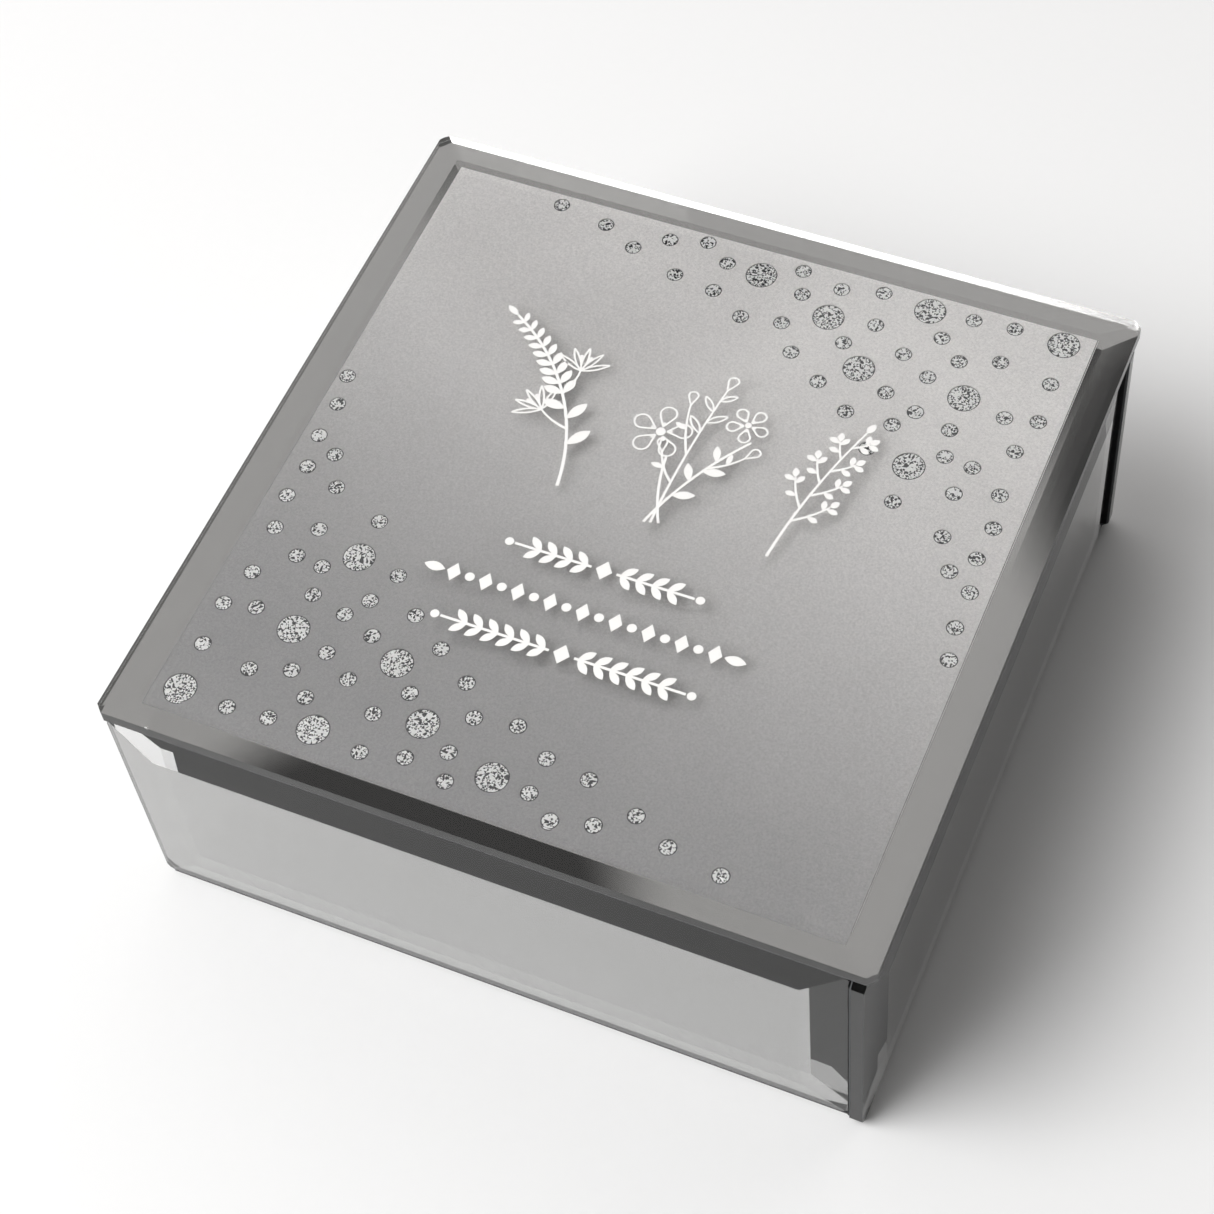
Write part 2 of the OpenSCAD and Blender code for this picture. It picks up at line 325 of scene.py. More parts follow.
def satin_material(finish):
    """Silver-grey satin paint with a fine grain; a painted sheen lightens it towards the hinges and painted
    shade deepens it towards the front left.
    """
    recipe = Recipe("satin_print")
    low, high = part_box("lid_satin_field")
    # How far along the painted sheen each point lies: painted sheen at the back, painted shade at the
    # front.
    along_painted_sheen = recipe.add("ShaderNodeVectorMath", operation="DOT_PRODUCT")
    recipe.join(recipe.coords.outputs["Object"], along_painted_sheen.inputs[0])
    along_painted_sheen.inputs[1].default_value = SATIN_PAINTED_SHEEN_WAY
    depth = recipe.spread(along_painted_sheen.outputs["Value"], low.y, high.y, smooth=True)
    grain = recipe.noise(0.34 * MM, 3, 0.7)
    cloud = recipe.noise(26 * MM, 3, 0.55)
    # Painted shade at the front turning into painted sheen at the back.
    tone = recipe.mix(depth, finish.satin_painted_shade_front, finish.satin_painted_sheen_back)
    speckled = recipe.mix(
        recipe.spread(grain, 0.32, 0.68), shade_socket(recipe, tone, 0.86), shade_socket(recipe, tone, 1.12)
    )
    dimmed = shade_socket(recipe, speckled, 0.9)
    clouded = recipe.mix(recipe.spread(cloud, 0.3, 0.7, 0.0, 0.5), speckled, dimmed)
    recipe.bump(grain, 0.02 * MM, 0.5)
    return recipe.set(Base_Color=clouded, Metallic=0.08, Roughness=finish.satin_roughness).material


def shade_socket(recipe, colour, factor):
    """A colour output made lighter or darker by a factor."""
    node = recipe.add("ShaderNodeVectorMath", operation="SCALE")
    recipe.join(colour, node.inputs[0])
    node.inputs["Scale"].default_value = factor
    return node.outputs["Vector"]


def ink_material(finish):
    """White screen ink, slightly uneven."""
    recipe = Recipe("white_ink")
    wash = recipe.noise(0.6 * MM, 3, 0.6)
    recipe.bump(wash, 0.01 * MM, 0.6)
    return recipe.set(
        Base_Color=recipe.mix(wash, shade(finish.ink, 0.93), finish.ink),
        Roughness=recipe.spread(wash, 0.3, 0.7, 0.38, 0.55),
        Specular_IOR_Level=0.4,
    ).material


def flake_material(finish):
    """Glitter flakes, each one a painted glint or a painted shade as a whole, standing in for the light
    each mirror flake would catch or miss.
    """
    recipe = Recipe("glitter_flakes")
    flake = recipe.add("ShaderNodeAttribute", attribute_name="flake")
    # Flakes below the share get the painted shade, the rest a painted glint.
    painted_dark_flake = recipe.math("LESS_THAN", flake.outputs["Fac"], finish.painted_shade_flake_share)
    tone = recipe.mix(flake.outputs["Fac"], shade(finish.flake_painted_glint, 0.9), finish.flake_painted_glint)
    return recipe.set(
        Base_Color=recipe.mix(painted_dark_flake, tone, finish.flake_painted_shade_and_rim_lacquer),
        Metallic=0.15,
        Roughness=recipe.spread(flake.outputs["Fac"], 0, 1, 0.2, 0.42),
    ).material


def dot_rim_material(finish):
    """Dark lacquer that holds the flakes of a glitter dot."""
    recipe = Recipe("glitter_rim")
    lacquer = recipe.noise(0.3 * MM, 2)
    return recipe.set(
        # The rim's lacquer takes the dark flakes' colour, made darker and lighter at random.
        Base_Color=recipe.mix(lacquer, shade(finish.flake_painted_shade_and_rim_lacquer, 0.6), shade(finish.flake_painted_shade_and_rim_lacquer, 1.6)),
        Roughness=recipe.spread(lacquer, 0.3, 0.7, 0.2, 0.4),
    ).material


def adhesive_material(finish):
    """Black adhesive, slightly rippled."""
    recipe = Recipe("black_adhesive")
    ripple = recipe.noise(1.2 * MM, 3, 0.6)
    recipe.bump(ripple, 0.05 * MM, 0.5)
    return recipe.set(
        Base_Color=finish.adhesive,
        Roughness=recipe.spread(ripple, 0.3, 0.7, 0.4, 0.6),
        Specular_IOR_Level=0.15,
    ).material


def velvet_material(finish):
    """Short black pile with a soft sheen, and brushed patches where the pile lies another way, painted
    lighter as a painted sheen.
    """
    recipe = Recipe("black_velvet")
    pile = recipe.noise(0.22 * MM, 2, 0.6)
    brushed = recipe.noise(11 * MM, 4, 0.6, stretch=(1, 1.7, 1))
    # Brushed patches are real, but their lighter colour is a painted sheen of the pile that lies another
    # way.
    tone = recipe.mix(recipe.spread(brushed, 0.35, 0.7), finish.velvet, shade(finish.velvet, 2.6))
    recipe.bump(pile, 0.08 * MM, 0.4)
    return recipe.set(
        Base_Color=recipe.mix(pile, shade(finish.velvet, 0.7), tone),
        Roughness=0.95,
        Sheen_Weight=0.3,
        Sheen_Roughness=0.35,
        Specular_IOR_Level=0.15,
    ).material


def nickel_material(finish, sizes):
    """Plated steel with fine brush marks along the hinge."""
    recipe = Recipe("plated_steel")
    brushed = recipe.noise(sizes.brush_mark, 3, 0.6, stretch=(0.03, 1, 1))
    stain = recipe.noise(5 * MM, 3, 0.6)
    recipe.bump(brushed, 0.008 * MM, 0.6)
    return recipe.set(
        Base_Color=recipe.mix(recipe.spread(stain, 0.35, 0.75), finish.nickel, shade(finish.nickel, 0.82)),
        Metallic=1.0,
        Roughness=recipe.spread(brushed, 0.3, 0.7, 0.2, 0.38),
    ).material


def felt_material(finish):
    """Dark pressed felt with short fibres."""
    recipe = Recipe("base_felt")
    fibre = recipe.noise(0.35 * MM, 4, 0.75)
    recipe.bump(fibre, 0.15 * MM, 0.9)
    return recipe.set(
        Base_Color=recipe.mix(fibre, shade(finish.felt, 0.6), shade(finish.felt, 1.7)),
        Roughness=0.97,
        Sheen_Weight=0.3,
        Specular_IOR_Level=0.1,
    ).material


def board_material(finish):
    """Raw fibreboard with fine chips."""
    recipe = Recipe("base_board")
    chips = recipe.noise(0.8 * MM, 5, 0.7)
    recipe.bump(chips, 0.08 * MM, 0.6)
    return recipe.set(
        Base_Color=recipe.mix(chips, shade(finish.board, 0.7), shade(finish.board, 1.35)),
        Roughness=recipe.spread(chips, 0.3, 0.7, 0.7, 0.9),
    ).material


def paint(node_name, material):
    """Gives a CAD node its material."""
    mesh = NODES[node_name].data
    mesh.materials.clear()
    mesh.materials.append(material)


# ---------------------------------------------------------------- shapes


def finish_piece(bm, name, body, replaced, materials):
    """Turns a bmesh into a piece that rides on a body in place of CAD nodes."""
    mesh = bpy.data.meshes.new(name)
    bm.to_mesh(mesh)
    bm.free()
    for material in materials:
        mesh.materials.append(material)
    piece = bpy.data.objects.new(name, mesh)
    bpy.context.scene.collection.objects.link(piece)
    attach(piece, body)
    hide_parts(*replaced)
    return piece


def merged_copy(node_name):
    """A CAD node's shape as a bmesh of whole flat faces."""
    bm = bmesh.new()
    bm.from_mesh(NODES[node_name].data)
    bmesh.ops.remove_doubles(bm, verts=bm.verts, dist=MERGE)
    bmesh.ops.dissolve_limit(
        bm, angle_limit=math.radians(1), verts=bm.verts, edges=bm.edges, use_dissolve_boundaries=False
    )
    return bm


def islands(bm):
    """The separate shells of a bmesh, each a list of its vertices."""
    left = set(bm.verts)
    shells = []
    for seed in bm.verts:
        if seed not in left:
            continue
        left.discard(seed)
        shell, front = [seed], [seed]
        while front:
            for edge in front.pop().link_edges:
                for vert in edge.verts:
                    if vert in left:
                        left.discard(vert)
                        shell.append(vert)
                        front.append(vert)
        shells.append(shell)
    return shells


def dot_places():
    """(centre, radius) of every glitter dot that the CAD model holds, on its lower face."""
    bm = merged_copy("lid_glitter_dots")
    places = []
    for shell in islands(bm):
        low = Vector([min(v.co[i] for v in shell) for i in range(3)])
        high = Vector([max(v.co[i] for v in shell) for i in range(3)])
        centre = (low + high) / 2
        centre.z = low.z
        places.append((centre, (high.x - low.x) / 2))
    bm.free()
    return places


def add_glitter_dot(bm, layer, centre, radius, height, sizes, rng):
    """A disc of small tilted flakes on a dark rim that slopes down to the field."""
    cells = max(6, round(2 * radius / sizes.flake))
    made = bmesh.ops.create_grid(bm, x_segments=cells, y_segments=cells, size=1)
    verts = made["verts"]
    flat = radius - sizes.dot_rim
    nudge = sizes.flake * FLAKE_NUDGE
    for vert in verts:
        x, y = vert.co.x, vert.co.y
        on_rim = vert.is_boundary
        vert.co = Vector((x * math.sqrt(1 - y * y / 2), y * math.sqrt(1 - x * x / 2), 0)) * flat
        if not on_rim:
            vert.co.x += rng.uniform(-nudge, nudge)
            vert.co.y += rng.uniform(-nudge, nudge)
        vert.co.z = height - rng.random() * sizes.flake_relief
    turn = Matrix.Rotation(rng.uniform(0, math.tau), 3, "Z")
    bmesh.ops.rotate(bm, cent=(0, 0, 0), matrix=turn, verts=verts)
    top = bmesh.ops.triangulate(bm, faces=list({f for v in verts for f in v.link_faces}))["faces"]
    for face in top:
        face[layer] = rng.random()
    skirt = bmesh.ops.extrude_face_region(bm, geom=top)["geom"]
    lower = [g for g in skirt if isinstance(g, bmesh.types.BMVert)]
    for vert in lower:
        vert.co.z = 0
    bmesh.ops.scale(bm, vec=(radius / flat, radius / flat, 1), verts=lower)
    whole = verts + lower
    faces = list({f for v in whole for f in v.link_faces})
    kept = set(top)
    for face in faces:
        if face not in kept:
            face.material_index = 1
    bmesh.ops.translate(bm, vec=centre, verts=whole)
    bmesh.ops.recalc_face_normals(bm, faces=faces)


class Drawing:
    """A flat print built up from tapering strokes and leaves, then given its ink thickness."""

    LEVEL_STEP = 0.0004 * MM
    LEVELS = 40

    def __init__(self):
        self.bm = bmesh.new()
        self.count = 0

    def level(self):
        """A slightly different height for each shape, so that crossing shapes don't coincide."""
        self.count += 1
        return (self.count % self.LEVELS) * self.LEVEL_STEP

    def stroke(self, foot, heading, length, bend=0.0, widths=(0.4 * MM, 0.4 * MM), steps=10):
        """A line that turns by bend over its length. Returns its stations as (place, heading)."""
        height = self.level()
        place = Vector((foot[0], foot[1], height))
        stations = []
        edge = None
        for step in range(steps + 1):
            share = step / steps
            angle = heading + bend * share
            half = (widths[0] + (widths[1] - widths[0]) * share) / 2
            across = Vector((-math.sin(angle), math.cos(angle), 0)) * half
            if edge is None:
                ends = [self.bm.verts.new(place - across), self.bm.verts.new(place + across)]
                edge = self.bm.edges.new(ends)
            else:
                grown = bmesh.ops.extrude_edge_only(self.bm, edges=[edge])["geom"]
                edge = next(g for g in grown if isinstance(g, bmesh.types.BMEdge))
                near, far = edge.verts
                if (near.co - place).dot(across) > (far.co - place).dot(across):
                    near, far = far, near
                near.co, far.co = place - across, place + across
            stations.append((place.copy(), angle))
            middle = heading + bend * (share + 0.5 / steps)
            place = place + Vector((math.cos(middle), math.sin(middle), 0)) * (length / steps)
        return stations

    def leaf(self, foot, heading, length, width, fullest=0.5, points=18):
        """A filled leaf with pointed ends, fullest at that share of its length."""
        made = bmesh.ops.create_circle(self.bm, cap_ends=True, radius=0.5, segments=points)["verts"]
        height = self.level()
        for vert in made:
            share = min(1, max(0, vert.co.x + 0.5))
            swell = 2 * math.sqrt(share * (1 - share)) * (1 + (fullest - 0.5) * (2 * share - 1) * 2)
            vert.co.y *= swell * width / length
            vert.co.x = share
        self.set_down(made, foot, heading, length, height)

    def bead(self, centre, radius, points=14):
        """A filled round dot."""
        made = bmesh.ops.create_circle(self.bm, cap_ends=True, radius=1, segments=points)["verts"]
        self.set_down(made, centre, 0, radius, self.level())

    def lozenge(self, centre, width, height):
        """A filled diamond."""
        made = bmesh.ops.create_circle(self.bm, cap_ends=True, radius=0.5, segments=4)["verts"]
        bmesh.ops.scale(self.bm, vec=(1, height / width, 1), verts=made)
        self.set_down(made, centre, 0, width, self.level())

    def set_down(self, verts, place, heading, size, height):
        """Sizes, turns and moves a shape that was made at the origin."""
        matrix = (
            Matrix.Translation((place[0], place[1], height))
            @ Matrix.Rotation(heading, 4, "Z")
            @ Matrix.Diagonal((size, size, 1, 1))
        )
        bmesh.ops.transform(self.bm, matrix=matrix, verts=verts)

    def petal(self, foot, heading, length, spread, width):
        """The outline of a petal: two arcs that part by spread each side and meet at the tip."""
        arc = length * spread / math.sin(spread)
        for hand in (-1, 1):
            self.stroke(foot, heading + hand * spread, arc, -2 * hand * spread, (width, width), 9)

    def round_petal(self, foot, heading, reach, spread, width):
        """The outline of a petal that opens by spread each side and ends in a round tip."""
        straight = reach / (1 / math.cos(spread) + math.tan(spread))
        turn = math.pi + 2 * spread
        side = self.stroke(foot, heading + spread, straight, 0, (width, width), 2)
        rim_length = straight * math.tan(spread) * turn
        rim = self.stroke(side[-1][0], heading + spread, rim_length, -turn, (width, width), 16)
        self.stroke(rim[-1][0], heading + spread - turn, straight, 0, (width, width), 2)

    def raised(self, z, thickness):
        """The finished bmesh: every shape is thickness high and stands on z."""
        bmesh.ops.translate(self.bm, vec=(0, 0, z), verts=self.bm.verts)
        grown = bmesh.ops.extrude_face_region(self.bm, geom=self.bm.faces[:])["geom"]
        top = [g for g in grown if isinstance(g, bmesh.types.BMVert)]
        bmesh.ops.translate(self.bm, vec=(0, 0, thickness), verts=top)
        bmesh.ops.recalc_face_normals(self.bm, faces=self.bm.faces)
        return self.bm


def along(stations, share):
    """The station nearest to that share of a stroke's length."""
    return stations[round(share * (len(stations) - 1))]


def starry_blossom(drawing, foot, heading, length, sizes):
    """A half-open blossom of long outlined petals with two stamens."""
    for turn in (-62, -31, 0, 31, 62):
        drawing.petal(foot, heading + math.radians(turn), length, math.radians(19), sizes.vein)
    for turn in (-16, 16):
        stamen_heading = heading + math.radians(turn)
        stamen = drawing.stroke(foot, stamen_heading, length * 0.62, 0, (sizes.vein, sizes.vein), 2)
        drawing.bead(stamen[-1][0], sizes.vein)


def fern_sprig(drawing, sizes):
    """The left sprig: a spike of leaf pairs over two starry blossoms."""
    stem = drawing.stroke(
        (-12.8 * MM, 0.2 * MM), math.radians(98), 35.5 * MM, math.radians(52),
        (sizes.stem * 1.2, sizes.stem), 36,
    )
    for index in range(9):
        place, heading = along(stem, 0.5 + 0.055 * index)
        size = (3.3 - 0.16 * index) * MM
        for hand in (-1, 1):
            drawing.leaf(place, heading + hand * math.radians(50), size, size * 0.44, 0.62)
    tip, heading = stem[-1]
    drawing.leaf(tip, heading, 2.6 * MM, 1.1 * MM)
    for share, hand, reach in ((0.3, 1, 5.6), (0.5, -1, 5.2)):
        place, heading = along(stem, share)
        side = drawing.stroke(
            place, heading + hand * math.radians(58), reach * MM, -hand * math.radians(28),
            (sizes.stem, sizes.vein),
        )
        starry_blossom(drawing, side[-1][0], side[-1][1], 4.6 * MM, sizes)
    for share, hand, size in ((0.22, -1, 4.4), (0.36, -1, 4.2), (0.43, 1, 4)):
        place, heading = along(stem, share)
        drawing.leaf(place, heading + hand * math.radians(55), size * MM, size * 0.42 * MM, 0.55)


def open_flower(drawing, centre, radius, petals, turn, sizes):
    """A round flower of outlined petals about a ring of stamens."""
    heart = radius * 0.2
    for index in range(petals):
        heading = turn + math.tau * index / petals
        outward = Vector((math.cos(heading), math.sin(heading)))
        drawing.round_petal(
            Vector(centre) + outward * heart, heading, radius - heart, math.radians(30), sizes.vein
        )
        drawing.bead(Vector(centre) + outward * heart * 1.7, sizes.vein * 0.8)
    drawing.bead(centre, heart * 0.8)


def bouquet(drawing, sizes):
    """The middle sprig: crossing stems with two open flowers, buds and leaves."""
    left = (-2 * MM, 15 * MM)
    right = (10.1 * MM, 20.6 * MM)
    open_flower(drawing, left, 4.8 * MM, 5, math.radians(20), sizes)
    open_flower(drawing, right, 3.3 * MM, 5, math.radians(60), sizes)
    line = (sizes.stem, sizes.stem)
    fine = (sizes.stem, sizes.vein)
    drawing.stroke((4.2 * MM, -0.9 * MM), math.radians(118), 12.4 * MM, math.radians(-22), line)
    curve = drawing.stroke((2 * MM, -1.4 * MM), math.radians(74), 21.5 * MM, math.radians(-22), line, 24)
    tall = drawing.stroke((3 * MM, -1.2 * MM), math.radians(91), 27 * MM, math.radians(-9), fine, 24)
    for share, hand, size in ((0.66, 1, 3.6), (0.74, -1, 3.4), (0.84, 1, 3.2), (0.92, -1, 2.8)):
        place, heading = along(tall, share)
        drawing.petal(place, heading + hand * math.radians(48), size * MM, math.radians(32), sizes.vein)
    drawing.round_petal(tall[-1][0], tall[-1][1], 2.8 * MM, math.radians(24), sizes.vein)
    for share, hand, size in ((0.3, -1, 3.6), (0.45, 1, 3.4), (0.58, -1, 3.6), (0.72, 1, 3)):
        place, heading = along(curve, share)
        drawing.leaf(place, heading + hand * math.radians(50), size * MM, size * 0.4 * MM, 0.55)
    for root, heading, reach, bend in (
        (along(tall, 0.5)[0], 118, 9.5, -20),
        (along(curve, 0.62)[0], 25, 6, 26),
        (along(tall, 0.3)[0], 140, 6, -30),
    ):
        twig = drawing.stroke(root, math.radians(heading), reach * MM, math.radians(bend), fine)
        drawing.round_petal(twig[-1][0], twig[-1][1], 2.6 * MM, math.radians(24), sizes.vein)
        drawing.leaf(along(twig, 0.5)[0], twig[5][1] + math.radians(50), 2.2 * MM, 0.9 * MM)


def berry_sprig(drawing, sizes):
    """The right sprig: a branching stem of berries and small leaves."""
    stem = drawing.stroke(
        (21.4 * MM, -0.9 * MM), math.radians(84), 27 * MM, math.radians(-14),
        (sizes.stem * 1.1, sizes.vein), 30,
    )
    for index in range(7):
        share = 0.28 + 0.1 * index
        place, heading = along(stem, share)
        hand = 1 if index % 2 else -1
        reach = (6.4 - 0.6 * index) * MM
        twig = drawing.stroke(
            place, heading + hand * math.radians(48), reach, -hand * math.radians(20),
            (sizes.stem, sizes.vein),
        )
        tip, direction = twig[-1]
        drawing.leaf(tip, direction, 1.7 * MM, 1.1 * MM)
        for fork, turn in ((0.45, 55), (0.75, -50), (0.9, 60)):
            spot, course = along(twig, fork)
            drawing.leaf(spot, course + hand * math.radians(turn), 1.9 * MM, 0.95 * MM, 0.7)
    drawing.leaf(stem[-1][0], stem[-1][1], 2.1 * MM, 1.2 * MM)


def garland(drawing, row_y, half_width, pitch, sizes):
    """A row of leaf pairs that point outwards from a lozenge in the middle."""
    drawing.lozenge((0, row_y), 2.6 * MM, 3.4 * MM)
    for hand in (-1, 1):
        heading = 0 if hand > 0 else math.pi
        drawing.stroke(
            (hand * 2 * MM, row_y), heading, half_width - 3.6 * MM, 0, (sizes.stem, sizes.stem), 2
        )
        steps = int((half_width - 3.6 * MM) / pitch)
        for index in range(steps):
            x = hand * (2.6 * MM + pitch * index)
            for side in (-1, 1):
                drawing.leaf((x, row_y), heading + hand * side * math.radians(42), 2.9 * MM, 1.25 * MM, 0.6)
        drawing.bead((hand * (half_width - 0.7 * MM), row_y), 0.7 * MM)


def bead_band(drawing, row_y, half_width, pitch):
    """A row of lozenges and beads in turn, with a leaf at each end."""
    count = int((half_width - 2.5 * MM) / pitch)
    for index in range(-count, count + 1):
        x = index * pitch
        if index % 2:
            drawing.bead((x, row_y), 0.75 * MM)
        else:
            drawing.lozenge((x, row_y), 2.2 * MM, 3.3 * MM)
    for hand in (-1, 1):
        heading = 0 if hand > 0 else math.pi
        drawing.leaf((hand * (count + 0.55) * pitch, row_y), heading, 3.4 * MM, 1.6 * MM)


def padded_block(low, high, crown, radius):
    """A thin cushion between two corners: rounded rim, crowned top, slightly drawn-in sides."""
    bm = bmesh.new()
    bmesh.ops.create_cube(bm, size=1)
    size = high - low
    bmesh.ops.scale(bm, vec=size, verts=bm.verts)
    bmesh.ops.bevel(
        bm, geom=bm.edges[:], offset=radius, offset_type="OFFSET", affect="EDGES", segments=4, profile=0.5,
        material=-1,
    )
    long_edges = [e for e in bm.edges if e.calc_length() > size.x * 0.5]
    bmesh.ops.subdivide_edges(bm, edges=long_edges, cuts=PAD_CUTS, use_grid_fill=True)
    for vert in bm.verts:
        x, y = 2 * vert.co.x / size.x, 2 * vert.co.y / size.y
        share = vert.co.z / size.z + 0.5
        dip = 1 - (1 - abs(x) ** 4) * (1 - abs(y) ** 4)
        vert.co.z -= crown * dip * share
        pull = PAD_PULL * (1 - max(abs(x), abs(y)) ** 8 * min(abs(x), abs(y)) ** 2)
        vert.co.x *= 1 - pull * abs(x) ** 6
        vert.co.y *= 1 - pull * abs(y) ** 6
    bmesh.ops.translate(bm, vec=(low + high) / 2, verts=bm.verts)
    bmesh.ops.recalc_face_normals(bm, faces=bm.faces)
    for face in bm.faces:
        face.smooth = True
    return bm


def rounded_copy(node_name, radius):
    """A CAD node's shape with its sharp edges rolled over, as velvet wraps a board."""
    bm = merged_copy(node_name)
    sharp = [e for e in bm.edges if len(e.link_faces) == 2 and e.calc_face_angle() > math.radians(30)]
    bmesh.ops.bevel(
        bm, geom=sharp, offset=radius, offset_type="OFFSET", affect="EDGES", segments=4, profile=0.5,
        material=-1, clamp_overlap=True,
    )
    bmesh.ops.recalc_face_normals(bm, faces=bm.faces)
    for face in bm.faces:
        face.smooth = True
    return bm


def corner_seams():
    """The corner adhesive with the bead that stands out of each open seam."""
    bm = merged_copy("corner_adhesive")
    low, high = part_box("corner_adhesive")
    middle = (low + high) / 2
    reach = (high.x - low.x) / 2
    for quarter in range(4):
        cube = bmesh.ops.create_cube(bm, size=1)["verts"]
        bmesh.ops.scale(bm, vec=(SEAM_WIDTH, SEAM_RISE, high.z - low.z), verts=cube)
        bmesh.ops.translate(bm, vec=(reach - SEAM_INSET, -reach - SEAM_RISE * 0.4, 0), verts=cube)
        bmesh.ops.rotate(bm, matrix=Matrix.Rotation(quarter * math.pi / 2, 3, "Z"), verts=cube)
        bmesh.ops.translate(bm, vec=middle, verts=cube)
        rim = {edge for vert in cube for edge in vert.link_edges}
        bmesh.ops.bevel(
            bm, geom=list(rim), offset=SEAM_WIDTH * 0.25, offset_type="OFFSET", affect="EDGES", segments=2,
            profile=0.5, material=-1,
        )
    bmesh.ops.recalc_face_normals(bm, faces=bm.faces)
    return bm


# ---------------------------------------------------------------- operators


class PieceOperator:
    """What every operator of this file shares."""

    bl_options = {"REGISTER", "UNDO"}


class TRINKET_OT_glass_panes(PieceOperator, bpy.types.Operator):
    """Give the lid and the four walls their clear glass"""

    bl_idname = "trinket.glass_panes"
    bl_label = "Glass panes"

    def execute(self, context):
        finish = context.scene.trinket_finish
        paint("lid_glass", glass_material(finish, "lid", UP))
        for side, facing in WALLS.items():
            paint(f"{side}_panel_glass", glass_material(finish, side, facing))
        return {"FINISHED"}


class TRINKET_OT_silvering(PieceOperator, bpy.types.Operator):
    """Give every pane its silvering and painted backing"""

    bl_idname = "trinket.silvering"
    bl_label = "Silvering"

    def execute(self, context):
        finish = context.scene.trinket_finish
        paint("lid_silvering", silvering_material(finish, "lid", UP))
        for side, facing in WALLS.items():
            paint(f"{side}_silvering", silvering_material(finish, side, facing))
        return {"FINISHED"}


class TRINKET_OT_satin_field(PieceOperator, bpy.types.Operator):
    """Give the lid its satin field"""

    bl_idname = "trinket.satin_field"
    bl_label = "Satin field"

    def execute(self, context):
        paint("lid_satin_field", satin_material(context.scene.trinket_finish))
        return {"FINISHED"}


class TRINKET_OT_glitter_dots(PieceOperator, bpy.types.Operator):
    """Make the glitter dots out of single flakes"""

    bl_idname = "trinket.glitter_dots"
    bl_label = "Glitter dots"

    def execute(self, context):
        finish, sizes = context.scene.trinket_finish, context.scene.trinket_sizes
        low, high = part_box("lid_glitter_dots")
        rng = random.Random(sizes.seed)
        bm = bmesh.new()
        layer = bm.faces.layers.float.new("flake")
        for centre, radius in dot_places():
            add_glitter_dot(bm, layer, centre, radius, high.z - low.z, sizes, rng)
        finish_piece(
            bm, "lid_glitter_flakes", "lid", ["lid_glitter_dots"],
            [flake_material(finish), dot_rim_material(finish)],
        )
        return {"FINISHED"}


class TRINKET_OT_botanical_print(PieceOperator, bpy.types.Operator):
    """Draw the three sprigs and the ornament rows in white ink"""

    bl_idname = "trinket.botanical_print"
    bl_label = "Botanical print"

    def execute(self, context):
        finish, sizes = context.scene.trinket_finish, context.scene.trinket_sizes
        low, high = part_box("lid_print")
        drawing = Drawing()
        fern_sprig(drawing, sizes)
        bouquet(drawing, sizes)
        berry_sprig(drawing, sizes)
        garland(drawing, -11.6 * MM, 16 * MM, 2.5 * MM, sizes)
        bead_band(drawing, -19.5 * MM, 25.5 * MM, 2.6 * MM)
        garland(drawing, -27.2 * MM, 21 * MM, 2.5 * MM, sizes)
        bm = drawing.raised(low.z, high.z - low.z)
        bmesh.ops.translate(bm, vec=PRINT_SHIFT, verts=bm.verts)
        finish_piece(bm, "lid_botanical_print", "lid", ["lid_print"], [ink_material(finish)])
        return {"FINISHED"}


class TRINKET_OT_velvet_lining(PieceOperator, bpy.types.Operator):
    """Line the tray and the lid with velvet"""

    bl_idname = "trinket.velvet_lining"
    bl_label = "Velvet lining"

    def execute(self, context):
        finish, sizes = context.scene.trinket_finish, context.scene.trinket_sizes
        velvet = velvet_material(finish)
        low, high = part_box("floor_pad")
        pad = finish_piece(
            padded_block(low, high, sizes.pad_crown, 0.8 * MM), "floor_cushion", "case", ["floor_pad"],
            [velvet],
        )
        for side in WALLS:
            finish_piece(
                rounded_copy(f"{side}_liner", sizes.velvet_edge), f"{side}_velvet_board", "case",
                [f"{side}_liner"], [velvet],
            )
        finish_piece(
            rounded_copy("lid_lining", sizes.velvet_edge * 0.6), "lid_velvet_card", "lid", ["lid_lining"],
            [velvet],
        )
        return {"FINISHED"}


class TRINKET_OT_hinges(PieceOperator, bpy.types.Operator):
    """Plate the hinge leaves and pins"""

    bl_idname = "trinket.hinges"
    bl_label = "Hinges"

    def execute(self, context):
        material = nickel_material(context.scene.trinket_finish, context.scene.trinket_sizes)
        for part in HINGE_PARTS:
            paint(part, material)
        return {"FINISHED"}


class TRINKET_OT_base(PieceOperator, bpy.types.Operator):
    """Finish the base board, its felt and the corner adhesive"""

    bl_idname = "trinket.base"
    bl_label = "Base and corners"

    def execute(self, context):
        finish = context.scene.trinket_finish
        paint("base_board", board_material(finish))
        paint("base_felt", felt_material(finish))
        finish_piece(
            corner_seams(), "corner_seams", "case", ["corner_adhesive"],
            [adhesive_material(finish)],
        )
        return {"FINISHED"}


def add_key_light(studio):
    """A large soft square light that looks at the middle of the box."""
    light = bpy.data.lights.new("key", "AREA")
    light.shape = "SQUARE"
    light.size = studio.key_side
    light.energy = studio.key_power
    lamp = bpy.data.objects.new("key", light)
    bpy.context.scene.collection.objects.link(lamp)
    lamp.location = studio.key_place
    lamp.rotation_euler = (KEY_AIM - lamp.location).to_track_quat("-Z", "Y").to_euler()


